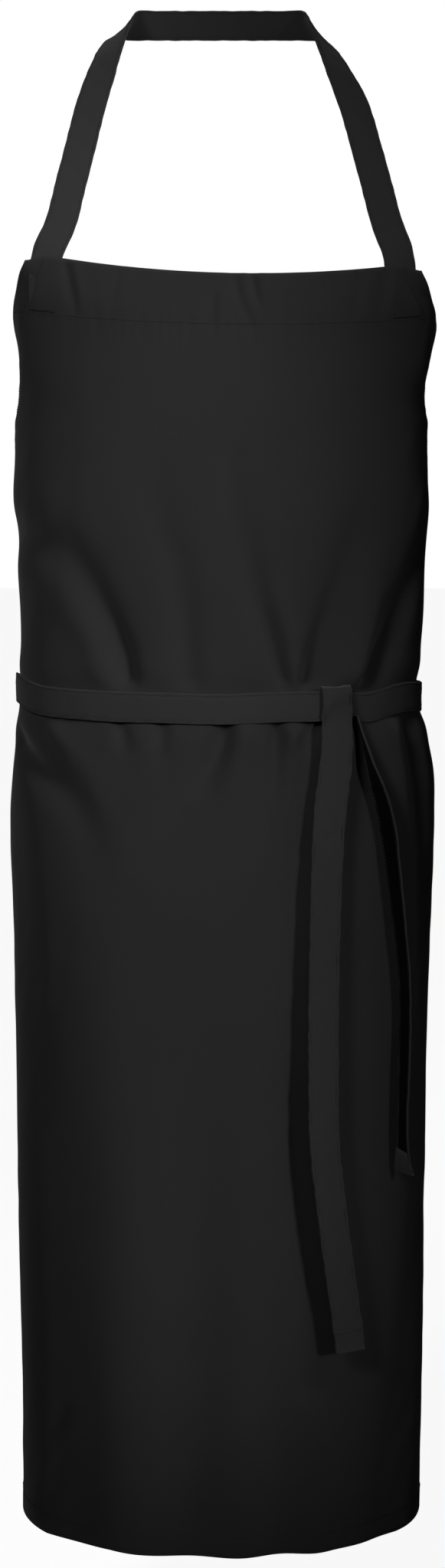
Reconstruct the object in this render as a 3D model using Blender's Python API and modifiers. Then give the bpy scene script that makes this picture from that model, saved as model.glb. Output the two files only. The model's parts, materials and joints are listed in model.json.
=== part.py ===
"""Long black twill bib apron with a neck strap and two waist ties, tied at the front.

Metres. +X is to the right as seen from the front, the front faces -Y and +Z is up.
The origin is the middle of the neck strap's inner face, where it rests on the nape.
The cloth hangs as it does on a body: an upright oval section that changes with height.
"""
import math
from functools import lru_cache

import bmesh
import bpy
import numpy as np
from mathutils import Vector

# Cut sizes of the cloth
APRON_LENGTH = 1.10
PANEL_HALF_WIDTH = 0.38
BIB_HALF_WIDTH = 0.166
ARMHOLE_DROP = 0.30
ARMHOLE_CURVE = 1.1
TOP_HEM = 0.043
EDGE_HEM = 0.020
STRAP_WIDTH = 0.026
STRAP_SHEARED_WIDTH = 0.029
END_HEM = 0.012

# Thicknesses, and the gap kept between cloths that touch
PANEL_THICK = 0.0008
STRAP_THICK = 0.0016
THREAD_THICK = 0.0004
CLOTH_GAP = 0.0005
HEM_IN = 0.0022
ARMHOLE_HEM_IN = 0.0036

# Rows of the panel's grid crowd towards its top, where the shape turns most
ROW_CROWDING = 1.6

# Where it hangs
BODY_Y = -0.066
BIB_TOP_Z = -0.2355
BIB_CORNER_X = 0.15
BIB_CORNER_RISE = 0.013
BIB_CORNER_FADE = 0.10
NECK_FOLD_Z = -0.2115
FOLD_GAP = 0.0012
TAIL_GAP = 0.0026
SIDE_TAIL_TOP_HALF = 0.0045

# The body's oval section: (distance below the bib's top edge, half width, half depth)
BODY_SECTIONS = (
    (0.00, 0.300, 0.116),
    (0.02, 0.268, 0.1165),
    (0.05, 0.207, 0.117),
    (0.09, 0.184, 0.118),
    (0.20, 0.181, 0.120),
    (0.32, 0.178, 0.118),
    (0.46, 0.189, 0.126),
    (0.70, 0.186, 0.130),
    (1.10, 0.1825, 0.135),
)

# Waist ties: heights of the sewn ends and of the band round the front
WAIST_DROP = 0.3589
TIE_SEWN_Z = -0.544
TIE_BAND_Z = -0.5944
TIE_SEWN_LENGTH = 0.025
KNOT_ALONG = 0.103
KNOT_HALF = 0.0135
TIE_CROSS_IN = 0.050
TIE_CROSS_OUT = 0.045

# Distances of the ties' middle surfaces out from the panel's middle surface
SEWN_OUT = -0.0046
UNDER_OUT = -0.0018
OVER_OUT = 0.0016
BAND_OUT = 0.0026
KNOT_BACK_OUT = 0.0025
KNOT_BAND_OUT = 0.0056
KNOT_FRONT_OUT = 0.0086

CLOTH_COLOUR = (0.012, 0.012, 0.013, 1.0)
STRAP_COLOUR = (0.016, 0.016, 0.017, 1.0)
THREAD_COLOUR = (0.010, 0.010, 0.011, 1.0)


# ---------------------------------------------------------------- curves and surfaces

def smoothstep(low, high, value):
    t = min(max((value - low) / (high - low), 0.0), 1.0)
    return t * t * (3.0 - 2.0 * t)


def hermite(keys, values, at):
    """Smooth curve through values at rising keys; the ends are held."""
    keys = np.asarray(keys, float)
    values = np.asarray(values, float)
    at = min(max(at, keys[0]), keys[-1])
    slopes = np.gradient(values, keys, axis=0)
    i = min(int(np.searchsorted(keys, at, side="right")) - 1, len(keys) - 2)
    span = keys[i + 1] - keys[i]
    t = (at - keys[i]) / span
    return ((2 * t**3 - 3 * t**2 + 1) * values[i] + (t**3 - 2 * t**2 + t) * span * slopes[i]
            + (3 * t**2 - 2 * t**3) * values[i + 1] + (t**3 - t**2) * span * slopes[i + 1])


def body_section(drop):
    table = np.array(BODY_SECTIONS)
    return hermite(table[:, 0], table[:, 1:], drop)


@lru_cache(maxsize=None)
def arc_table(half_width, half_depth):
    """Angle from the front and arc length, once round the oval."""
    angle = np.linspace(0.0, 2.0 * math.pi, 721)
    points = np.stack([half_width * np.sin(angle), -half_depth * np.cos(angle)], axis=1)
    steps = np.linalg.norm(np.diff(points, axis=0), axis=1)
    return angle, np.concatenate([[0.0], np.cumsum(steps)])


def angle_at(along, half_width, half_depth):
    angle, length = arc_table(round(half_width, 5), round(half_depth, 5))
    return math.copysign(float(np.interp(abs(along), length, angle)), along)


def oval_point(angle, drop, z, out=0.0):
    """Point on the oval at one level, moved outwards from it."""
    half_width, half_depth = body_section(drop)
    normal = Vector((math.sin(angle) / half_width, -math.cos(angle) / half_depth, 0.0)).normalized()
    centre = Vector((half_width * math.sin(angle), BODY_Y - half_depth * math.cos(angle), z))
    return centre + normal * out


def panel_half(drop):
    """Half width of the flat panel at a distance below its top edge."""
    share = min(max(drop / ARMHOLE_DROP, 0.0), 1.0)
    return BIB_HALF_WIDTH + (PANEL_HALF_WIDTH - BIB_HALF_WIDTH) * share**ARMHOLE_CURVE


def panel_point(along, drop, out=0.0):
    """Point on the hanging panel from its place on the flat cloth."""
    half_width, half_depth = body_section(drop)
    angle = angle_at(along, half_width, half_depth)
    lift = BIB_CORNER_RISE * min(abs(along) / BIB_CORNER_X, 1.15) ** 2
    z = BIB_TOP_Z - drop + lift * (1.0 - smoothstep(0.0, BIB_CORNER_FADE, drop))
    return oval_point(angle, drop, z, out)


WAIST_SECTION = tuple(float(size) for size in body_section(WAIST_DROP))
WAIST_ROUND = float(arc_table(round(WAIST_SECTION[0], 5), round(WAIST_SECTION[1], 5))[1][-1])


def waist_point(along, z, out):
    """Point on the ties' ring round the body; along runs past the back without a break."""
    turns, rest = divmod(along, WAIST_ROUND)
    angle = angle_at(rest, *WAIST_SECTION) + turns * 2.0 * math.pi
    return oval_point(angle, BIB_TOP_Z - z, z, out)


# ---------------------------------------------------------------- objects

def material(name, colour, roughness):
    made = bpy.data.materials.new(name)
    made.use_nodes = True
    shader = made.node_tree.nodes["Principled BSDF"]
    shader.inputs["Base Color"].default_value = colour
    shader.inputs["Roughness"].default_value = roughness
    shader.inputs["Metallic"].default_value = 0.0
    return made


def grid_object(name, columns, rows, place, thickness, look, pivot):
    """Open grid laid out by place(s, t), both from 0 to 1, thickened evenly on both sides."""
    mesh = bpy.data.meshes.new(name)
    bm = bmesh.new()
    bmesh.ops.create_grid(bm, x_segments=columns, y_segments=rows, size=1.0)
    for vert in bm.verts:
        vert.co = place((vert.co.x + 1.0) / 2.0, (vert.co.y + 1.0) / 2.0) - pivot.matrix_world.translation
    bm.to_mesh(mesh)
    bm.free()
    mesh.shade_smooth()
    mesh.materials.append(look)
    made = bpy.data.objects.new(name, mesh)
    made.parent = pivot
    bpy.data.collections["bib_apron"].objects.link(made)
    solidify = made.modifiers.new("Thickness", "SOLIDIFY")
    solidify.thickness = thickness
    solidify.offset = 0.0
    return made


def ribbon(name, steps, route, look, pivot, thickness=STRAP_THICK):
    """Flat strap: route(s) gives its middle line and the half width as a vector."""
    def place(s, t):
        middle, half = route(s)
        return middle + half * (2.0 * t - 1.0)
    return grid_object(name, steps, 1, place, thickness, look, pivot)


def pivot_empty(name, location, parent=None):
    made = bpy.data.objects.new(name, None)
    bpy.data.collections["bib_apron"].objects.link(made)
    made.location = location
    made.empty_display_size = 0.03
    if parent is not None:
        made.parent = parent
        made.location = location - parent.location
    return made


def panel_patch(name, columns, rows, along, drop, out, thickness, look, pivot):
    """Piece of cloth lying on the panel; along(s, t) and drop(s, t) are flat-cloth places."""
    def place(s, t):
        return panel_point(along(s, t), drop(s, t), out)
    return grid_object(name, columns, rows, place, thickness, look, pivot)


# ---------------------------------------------------------------- the apron's cloth

def make_panel(look, pivot):
    def along(s, t):
        return (2.0 * s - 1.0) * panel_half(drop(s, t))

    def drop(s, t):
        return APRON_LENGTH * t**ROW_CROWDING
    return panel_patch("main_panel", 36, 40, along, drop, 0.0, PANEL_THICK, look, pivot)


def make_hems(look, pivot):
    """Turned hems: each a second layer on the inside of the panel."""
    inside = -HEM_IN
    lap = 0.0015
    thick = PANEL_THICK

    def across(s, t):
        return (2.0 * s - 1.0) * (panel_half(TOP_HEM * t) - lap)
    panel_patch("bib_top_hem", 24, 2, across, lambda s, t: lap + (TOP_HEM - lap) * t,
                inside, thick, look, pivot)
    panel_patch("bottom_hem", 36, 1, lambda s, t: (2.0 * s - 1.0) * (PANEL_HALF_WIDTH - lap),
                lambda s, t: APRON_LENGTH - EDGE_HEM + (EDGE_HEM - lap) * t,
                inside, thick, look, pivot)

    armhole_start = TOP_HEM + lap
    armhole_end = ARMHOLE_DROP - 0.010
    side_start = ARMHOLE_DROP
    side_end = APRON_LENGTH - EDGE_HEM - lap
    for side, sign in (("left", -1.0), ("right", 1.0)):
        def armhole_drop(s, t):
            return armhole_start + (armhole_end - armhole_start) * t

        def armhole_along(s, t, sign=sign):
            return sign * (panel_half(armhole_drop(s, t)) - lap - EDGE_HEM * s)

        def side_drop(s, t):
            return side_start + (side_end - side_start) * t

        def side_along(s, t, sign=sign):
            return sign * (PANEL_HALF_WIDTH - lap - EDGE_HEM * s)
        panel_patch("armhole_hem_" + side, 1, 24, armhole_along, armhole_drop,
                    -ARMHOLE_HEM_IN, thick, look, pivot)
        panel_patch("side_hem_" + side, 1, 30, side_along, side_drop, inside, thick, look, pivot)


def make_bartacks(look, pivot):
    """Thread tacks on the outside, over the sewn ends of the neck strap and the ties."""
    outside = PANEL_THICK / 2.0 + CLOTH_GAP + THREAD_THICK / 2.0
    neck_along = 0.154
    tie_along = PANEL_HALF_WIDTH - TIE_SEWN_LENGTH / 2.0 - 0.003
    tie_drop = BIB_TOP_Z - TIE_SEWN_Z
    long_half = 0.011
    short_half = 0.0012
    for side, sign in (("left", -1.0), ("right", 1.0)):
        panel_patch("neck_bartack_" + side, 6, 1,
                    lambda s, t, sign=sign: sign * (neck_along + long_half * (2.0 * s - 1.0)),
                    lambda s, t: TOP_HEM - 0.004 + short_half * (2.0 * t - 1.0),
                    outside, THREAD_THICK, look, pivot)
        panel_patch("tie_bartack_" + side, 1, 6,
                    lambda s, t, sign=sign: sign * (tie_along + short_half * (2.0 * s - 1.0)),
                    lambda s, t: tie_drop + long_half * (2.0 * t - 1.0),
                    outside, THREAD_THICK, look, pivot)


# ---------------------------------------------------------------- neck strap

def neck_strap_keys():
    """Right half of the neck strap, from the fold above the bib to the nape.

    Each key is the middle line and the direction to the edge nearest the head."""
    fold = neck_fold_point(1.0)
    return (
        (fold, (-1.00, 0.00, 0.00)),
        ((0.1400, -0.1560, -0.1935), (-0.94, 0.00, -0.33)),
        ((0.1300, -0.1400, -0.1533), (-0.96, 0.00, -0.27)),
        ((0.1240, -0.1265, -0.1257), (-0.97, -0.04, -0.24)),
        ((0.1140, -0.1050, -0.0840), (-0.95, -0.15, -0.20)),
        ((0.1037, -0.0870, -0.0565), (-0.88, -0.46, -0.04)),
        ((0.0935, -0.0680, -0.0330), (-0.80, -0.50, 0.30)),
        ((0.0845, -0.0430, -0.0150), (-0.68, -0.25, 0.68)),
        ((0.0785, -0.0215, -0.0055), (-0.45, -0.15, 0.88)),
        ((0.0690, -0.0060, -0.0010), (-0.15, -0.05, 0.98)),
        ((0.0560, STRAP_THICK / 2.0, 0.0), (0.0, 0.0, 1.0)),
        ((0.0300, STRAP_THICK / 2.0, 0.0), (0.0, 0.0, 1.0)),
        ((0.0100, STRAP_THICK / 2.0, 0.0), (0.0, 0.0, 1.0)),
    )


def neck_fold_point(sign):
    """Middle of the strap where it folds, just above the bib's corner."""
    corner = panel_point(BIB_CORNER_X, 0.0, SEWN_OUT)
    return Vector((sign * 0.1462, corner.y, NECK_FOLD_Z))


def neck_route(s):
    """Middle and half width of the neck strap, s from 0 at the left bib corner to 1 at the right."""
    keys = neck_strap_keys()
    points = [Vector(key[0]) for key in keys]
    heads = [Vector(key[1]) for key in keys]
    points = [Vector((-p.x, p.y, p.z)) for p in points] + points[::-1]
    heads = [Vector((-h.x, h.y, h.z)) for h in heads] + heads[::-1]
    lengths = np.concatenate([[0.0], np.cumsum([(b - a).length for a, b in zip(points, points[1:])])])
    start = FOLD_GAP
    at = start + s * (lengths[-1] - 2.0 * start)
    middle = hermite(lengths, points, at)
    head = Vector(hermite(lengths, heads, at))
    ahead = hermite(lengths, points, at + 0.001)
    behind = hermite(lengths, points, at - 0.001)
    run = Vector(ahead - behind).normalized()
    to_fold = min(at, lengths[-1] - at)
    sheared = 1.0 - smoothstep(0.0, 0.03, to_fold)
    square = (head - run * head.dot(run)).normalized() * STRAP_WIDTH / 2.0
    level = head.normalized() * STRAP_SHEARED_WIDTH / 2.0
    return Vector(middle), square.lerp(level, sheared)


def make_neck_strap(look, root, apron):
    ribbon("neck_strap", 84, neck_route, look, root)
    for side, sign in (("left", -1.0), ("right", 1.0)):
        def route(s, sign=sign):
            fold = neck_fold_point(sign)
            top = fold - Vector((0.0, 0.0, FOLD_GAP))
            low_drop = TOP_HEM - 0.002
            low = panel_point(sign * 0.1555, low_drop, SEWN_OUT)
            inner = panel_point(sign * (0.1555 - STRAP_WIDTH / 2.0), low_drop, SEWN_OUT)
            outer = panel_point(sign * (0.1555 + STRAP_WIDTH / 2.0), low_drop, SEWN_OUT)
            low_half = (outer - inner) / 2.0
            top_half = Vector((sign * STRAP_SHEARED_WIDTH / 2.0, 0.0, 0.0))
            turn = smoothstep(0.0, 0.35, s)
            return top.lerp(low, s), top_half.lerp(low_half, turn)
        ribbon("neck_strap_sewn_end_" + side, 10, route, look, apron)


# ---------------------------------------------------------------- waist ties

def tie_height(along):
    """A tie leaves its sewn corner high and is at the band's height on the far side."""
    far_edge = WAIST_ROUND - PANEL_HALF_WIDTH
    return TIE_SEWN_Z + (TIE_BAND_Z - TIE_SEWN_Z) * smoothstep(PANEL_HALF_WIDTH, far_edge, along)


def tie_out(along, cross_out, cross_start, cross_end, knot_out):
    """Distance out from the panel: inside the sewn edge, across the back, over the far edge."""
    edge = PANEL_HALF_WIDTH + 0.005
    out = SEWN_OUT + (cross_out - SEWN_OUT) * smoothstep(edge, edge + TIE_CROSS_IN, along)
    out += (BAND_OUT - cross_out) * smoothstep(cross_start, cross_end, along)
    knot = WAIST_ROUND - KNOT_ALONG if knot_out < BAND_OUT else WAIST_ROUND + KNOT_ALONG
    out += (knot_out - BAND_OUT) * smoothstep(knot - 0.06, knot - KNOT_HALF - 0.004, along)
    return out


def make_ties(look, pivot):
    """One tie runs round the back and the left side to the front; the other round the right."""
    start = PANEL_HALF_WIDTH - TIE_SEWN_LENGTH
    far_edge = WAIST_ROUND - PANEL_HALF_WIDTH
    half = Vector((0.0, 0.0, STRAP_WIDTH / 2.0))

    def front_route(s):
        along = start + s * (WAIST_ROUND + KNOT_ALONG + 0.008 - start)
        out = tie_out(along, OVER_OUT, far_edge - 0.045, far_edge - 0.005, KNOT_BAND_OUT)
        return waist_point(along, tie_height(along), out), half

    def side_route(s):
        along = start + s * (WAIST_ROUND - KNOT_ALONG - KNOT_HALF - 0.001 - start)
        out = tie_out(along, UNDER_OUT, far_edge - TIE_CROSS_OUT - 0.01, far_edge - 0.015, KNOT_BACK_OUT)
        middle = waist_point(along, tie_height(along), out)
        return Vector((-middle.x, middle.y, middle.z)), half
    ribbon("waist_tie_round_left", 64, front_route, look, pivot)
    ribbon("waist_tie_round_right", 46, side_route, look, pivot)


def knot_frame():
    """Middle of the knot on the panel, and the directions out of it and across it."""
    middle = waist_point(KNOT_ALONG, TIE_BAND_Z, 0.0)
    out = (waist_point(KNOT_ALONG, TIE_BAND_Z, 0.01) - middle).normalized()
    across = Vector((-out.y, out.x, 0.0))
    return middle, out, across


KNOT_PATH = ((0.0, -0.0125), (0.0, -0.002), (0.0, 0.009), (0.25, 0.0165), (0.5, 0.0185),
             (0.75, 0.0165), (1.0, 0.009), (1.0, -0.002), (1.0, -0.0135))


def make_knot(look, pivot):
    """The tie's turn up behind the front band, over its top edge and down in front."""
    middle, out, across = knot_frame()

    def route(s):
        share, rise = hermite(range(len(KNOT_PATH)), KNOT_PATH, s * (len(KNOT_PATH) - 1))
        depth = KNOT_BACK_OUT + share * (KNOT_FRONT_OUT - KNOT_BACK_OUT)
        return middle + out * depth + Vector((0.0, 0.0, rise)), across * KNOT_HALF
    ribbon("knot_wrap", 20, route, look, pivot)


# ---------------------------------------------------------------- hanging tails

FRONT_TAIL_KEYS = ((0.0, 0.0000, 0.0000), (0.053, -0.0060, 0.0040), (0.16, -0.0110, 0.0085),
                   (0.26, -0.0140, 0.0110), (0.36, -0.0110, 0.0110), (0.45, -0.0020, 0.0110),
                   (0.537, 0.0120, 0.0110))
SIDE_TAIL_KEYS = ((0.0, 0.1215, 0.0070), (0.045, 0.1320, 0.0115), (0.080, 0.1395, 0.0140),
                  (0.120, 0.1455, 0.0150), (0.180, 0.1535, 0.0150), (0.220, 0.1575, 0.0150),
                  (0.320, 0.1585, 0.0150), (0.392, 0.1610, 0.0150))
SIDE_TAIL_FACING = Vector((0.35, -0.937, 0.0))


def front_tail_top():
    middle, out, across = knot_frame()
    return middle + out * KNOT_FRONT_OUT + Vector((0.0, 0.0, KNOT_PATH[-1][1] - TAIL_GAP))


def front_tail_route(s, back=0.0):
    """Tail hanging flat in front of the skirt, swinging a little to the left and back."""
    middle, out, across = knot_frame()
    keys = np.array(FRONT_TAIL_KEYS)
    fall = s * keys[-1, 0]
    shift, proud = hermite(keys[:, 0], keys[:, 1:], fall)
    top = front_tail_top()
    z = top.z - fall
    skirt = oval_point(angle_at(KNOT_ALONG, *WAIST_SECTION), BIB_TOP_Z - z, z, KNOT_FRONT_OUT)
    return skirt + across * shift + out * (proud - back), across * (STRAP_WIDTH / 2.0)


def side_tail_top():
    return side_tail_route(0.0)[0]


def skirt_y(x, z):
    half_width, half_depth = body_section(BIB_TOP_Z - z)
    return BODY_Y - half_depth * math.sqrt(max(1.0 - (x / half_width) ** 2, 0.0))


def side_tail_route(s, sideways=0.0):
    """Tail hanging on edge by the hip, its inner edge just clear of the skirt."""
    keys = np.array(SIDE_TAIL_KEYS)
    fall = s * keys[-1, 0]
    x, stand_off = hermite(keys[:, 0], keys[:, 1:], fall)
    z = TIE_BAND_Z - STRAP_WIDTH / 2.0 - 0.006 - fall
    half = SIDE_TAIL_TOP_HALF + (STRAP_WIDTH / 2.0 - SIDE_TAIL_TOP_HALF) * smoothstep(0.0, 0.08, fall)
    inner_x = x - SIDE_TAIL_FACING.x * half
    y = skirt_y(inner_x, z) - SIDE_TAIL_FACING.y * -half + (half - stand_off) - 0.003
    flat = Vector((SIDE_TAIL_FACING.y, -SIDE_TAIL_FACING.x, 0.0)).normalized()
    return Vector((x, y, z)) + flat * sideways, SIDE_TAIL_FACING.normalized() * half


def make_tails(look, front_pivot, side_pivot):
    """Both tails with the turned hem at their ends as a second layer on the back."""
    layer = STRAP_THICK + CLOTH_GAP
    front_fall = FRONT_TAIL_KEYS[-1][0]
    side_fall = SIDE_TAIL_KEYS[-1][0]
    ribbon("front_tail", 34, front_tail_route, look, front_pivot)
    ribbon("side_tail", 30, side_tail_route, look, side_pivot)

    def front_end(s):
        at = 1.0 - (END_HEM * (1.0 - s) + 0.001) / front_fall
        return front_tail_route(at, layer)

    def side_end(s):
        at = 1.0 - (END_HEM * (1.0 - s) + 0.001) / side_fall
        return side_tail_route(at, layer)
    ribbon("front_tail_end_hem", 2, front_end, look, front_pivot)
    ribbon("side_tail_end_hem", 2, side_end, look, side_pivot)


# ---------------------------------------------------------------- assembly

def clear_scene():
    for old in list(bpy.data.objects):
        bpy.data.objects.remove(old, do_unlink=True)


def main():
    clear_scene()
    parts = bpy.data.collections.new("bib_apron")
    bpy.context.scene.collection.children.link(parts)
    cloth = material("black_twill", CLOTH_COLOUR, 0.85)
    strap = material("black_twill_strap", STRAP_COLOUR, 0.82)
    thread = material("black_thread", THREAD_COLOUR, 0.6)

    root = pivot_empty("neck_loop", Vector((0.0, 0.0, 0.0)))
    fold = neck_fold_point(1.0)
    apron = pivot_empty("apron", Vector((0.0, fold.y, NECK_FOLD_Z)))
    front_pivot = pivot_empty("front_tail_pivot", front_tail_top(), apron)
    side_pivot = pivot_empty("side_tail_pivot", side_tail_top(), apron)
    bpy.context.view_layer.update()

    make_panel(cloth, apron)
    make_hems(cloth, apron)
    make_bartacks(thread, apron)
    make_neck_strap(strap, root, apron)
    make_ties(strap, apron)
    make_knot(strap, apron)
    make_tails(strap, front_pivot, side_pivot)


main()
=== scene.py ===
"""Looks of the long black twill bib apron: cloth, hems, straps, knot, stitching, light and camera.

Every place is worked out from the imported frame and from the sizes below, in metres.
"Along" is the distance round the body from the front's middle, and "drop" the distance down the
flat cloth from the bib's top edge.
"""
import json
import math

import bpy
import numpy as np
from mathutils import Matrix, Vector


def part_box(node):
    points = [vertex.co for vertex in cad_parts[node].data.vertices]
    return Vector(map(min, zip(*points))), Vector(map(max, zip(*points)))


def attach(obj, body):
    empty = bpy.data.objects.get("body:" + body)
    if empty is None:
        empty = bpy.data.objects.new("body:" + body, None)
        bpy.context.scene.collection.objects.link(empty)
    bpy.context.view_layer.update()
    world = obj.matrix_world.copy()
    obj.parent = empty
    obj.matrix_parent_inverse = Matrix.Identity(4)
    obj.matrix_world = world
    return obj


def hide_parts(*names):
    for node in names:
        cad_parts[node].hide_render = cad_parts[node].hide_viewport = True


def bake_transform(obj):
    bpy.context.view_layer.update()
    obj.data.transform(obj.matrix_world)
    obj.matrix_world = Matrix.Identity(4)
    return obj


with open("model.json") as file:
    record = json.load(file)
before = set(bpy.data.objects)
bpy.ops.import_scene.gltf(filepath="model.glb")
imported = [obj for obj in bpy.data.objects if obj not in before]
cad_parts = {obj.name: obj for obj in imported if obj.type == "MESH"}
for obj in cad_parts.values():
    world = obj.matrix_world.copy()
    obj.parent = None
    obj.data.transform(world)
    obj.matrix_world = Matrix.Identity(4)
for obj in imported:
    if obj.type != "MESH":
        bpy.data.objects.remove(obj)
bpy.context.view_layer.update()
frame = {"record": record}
joints = {joint["name"]: joint for joint in frame["record"]["behaviour"]["joints"]}

# ---------------------------------------------------------------- sizes, as the CAD model was cut

APRON_LENGTH = 1.10
PANEL_HALF_WIDTH = 0.38
BIB_HALF_WIDTH = 0.166
ARMHOLE_DROP = 0.30
ARMHOLE_CURVE = 1.1
TOP_HEM = 0.043
EDGE_HEM = 0.020
END_HEM = 0.024
STRAP_WIDTH = 0.026
STRAP_THICK = 0.0019
CLOTH_THICK = 0.0007

HEM_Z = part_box("main_panel")[0][2]
BIB_TOP_Z = HEM_Z + APRON_LENGTH
BODY_Y = -0.066
WAIST_DROP = 0.3589
TIE_SEWN_Z = -0.544
TIE_BAND_Z = -0.5944
TIE_SEWN_LENGTH = 0.025
KNOT_ALONG = 0.0975

# Distance below the bib's top edge, and half width and half depth of the body's oval there
BODY_SECTIONS = np.array((
    (0.00, 0.300, 0.116),
    (0.02, 0.268, 0.1165),
    (0.05, 0.207, 0.117),
    (0.09, 0.184, 0.118),
    (0.20, 0.181, 0.120),
    (0.32, 0.178, 0.118),
    (0.46, 0.189, 0.126),
    (0.70, 0.186, 0.130),
    (1.10, 0.1825, 0.135),
))


# ---------------------------------------------------------------- curves

def smoothstep(low, high, value):
    t = np.clip((np.asarray(value, float) - low) / (high - low), 0.0, 1.0)
    return t * t * (3.0 - 2.0 * t)


def bell(distance, width):
    """1 at no distance, falling smoothly to nothing at about twice the width."""
    return np.exp(-(distance / width)**2)


def hermite(keys, values, at):
    """Smooth curve through values at rising keys; the ends are held."""
    keys = np.asarray(keys, float)
    values = np.asarray(values, float)
    slopes = np.gradient(values, keys, axis=0)
    at = np.clip(np.asarray(at, float), keys[0], keys[-1])
    i = np.clip(np.searchsorted(keys, at, side="right") - 1, 0, len(keys) - 2)
    span = keys[i + 1] - keys[i]
    t = (at - keys[i]) / span
    if values.ndim > 1:
        t = t[..., None]
        span = span[..., None]
    return ((2 * t**3 - 3 * t**2 + 1) * values[i] + (t**3 - 2 * t**2 + t) * span * slopes[i]
            + (3 * t**2 - 2 * t**3) * values[i + 1] + (t**3 - t**2) * span * slopes[i + 1])


def unit(vectors):
    return vectors / np.linalg.norm(vectors, axis=-1, keepdims=True)


def square_to(run, vectors):
    """Unit vectors turned square to the run of a line."""
    return unit(vectors - run * np.sum(vectors * run, axis=1, keepdims=True))


def arc_length(points):
    """Distance of each point along their line."""
    steps = np.linalg.norm(np.diff(points, axis=0), axis=1)
    return np.concatenate([[0.0], np.cumsum(steps)])


def sample(values, length, at):
    """Values at distances along a line, from values at its points."""
    return np.stack([np.interp(at, length, column) for column in values.T], axis=1)


def ripple(at, wavelength, seed, count=5):
    """Smooth irregular wave between about -1 and 1: sines whose phases the seed scatters."""
    total = np.zeros(np.shape(at))
    for i in range(count):
        turn = math.sin(seed * 12.9 + i * 78.2) * 43.7
        phase = (turn - math.floor(turn)) * 2.0 * math.pi
        total = total + np.sin(np.asarray(at) * 2.0 * math.pi / wavelength * (0.6 + 0.31 * i) + phase)
    return total / count**0.5 * 0.7


# ---------------------------------------------------------------- the body's ovals

def body_sizes(drop):
    """Half width and half depth of the body's oval at a drop."""
    return hermite(BODY_SECTIONS[:, 0], BODY_SECTIONS[:, 1:], drop)


def oval_lengths(half_width, half_depth):
    """Angles round one oval from its front, and the distance round it at each."""
    angle = np.linspace(0.0, 2.0 * math.pi, 721)
    points = np.stack([half_width * np.sin(angle), -half_depth * np.cos(angle)], axis=1)
    return angle, arc_length(points)


def oval_angle(along, half_width, half_depth):
    """Angle round one oval for distances along it from its front."""
    angle, length = oval_lengths(half_width, half_depth)
    return np.sign(along) * np.interp(np.abs(along), length, angle)


def oval_place(angle, half_width, half_depth, out):
    """x and y on an oval, stood out from it."""
    normal = unit(np.stack([np.sin(angle) / half_width, -np.cos(angle) / half_depth], axis=-1))
    x = half_width * np.sin(angle) + normal[..., 0] * out
    y = BODY_Y - half_depth * np.cos(angle) + normal[..., 1] * out
    return x, y


# ---------------------------------------------------------------- the hanging cloth

def panel_half(drop):
    """The flat panel's half width at a drop."""
    share = np.clip(drop / ARMHOLE_DROP, 0.0, 1.0)
    return BIB_HALF_WIDTH + (PANEL_HALF_WIDTH - BIB_HALF_WIDTH) * share**ARMHOLE_CURVE


def crease(along, drop, route, widths, heights):
    """A soft ridge (or valley, where the height is negative) along a route on the flat cloth."""
    nearest = np.full(np.shape(along), np.inf)
    height = np.zeros(np.shape(along))
    count = len(route) - 1
    for i in range(count):
        (a0, d0), (a1, d1) = route[i], route[i + 1]
        across = a1 - a0
        down = d1 - d0
        t = np.clip(((along - a0) * across + (drop - d0) * down) / (across**2 + down**2), 0.0, 1.0)
        share = (i + t) / count
        width = widths[0] + (widths[1] - widths[0]) * share
        far = np.hypot(along - a0 - t * across, drop - d0 - t * down) / width
        here = heights[0] + (heights[1] - heights[0]) * share
        height = np.where(far < nearest, here, height)
        nearest = np.minimum(nearest, far)
    return height * np.exp(-nearest**2)


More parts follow.
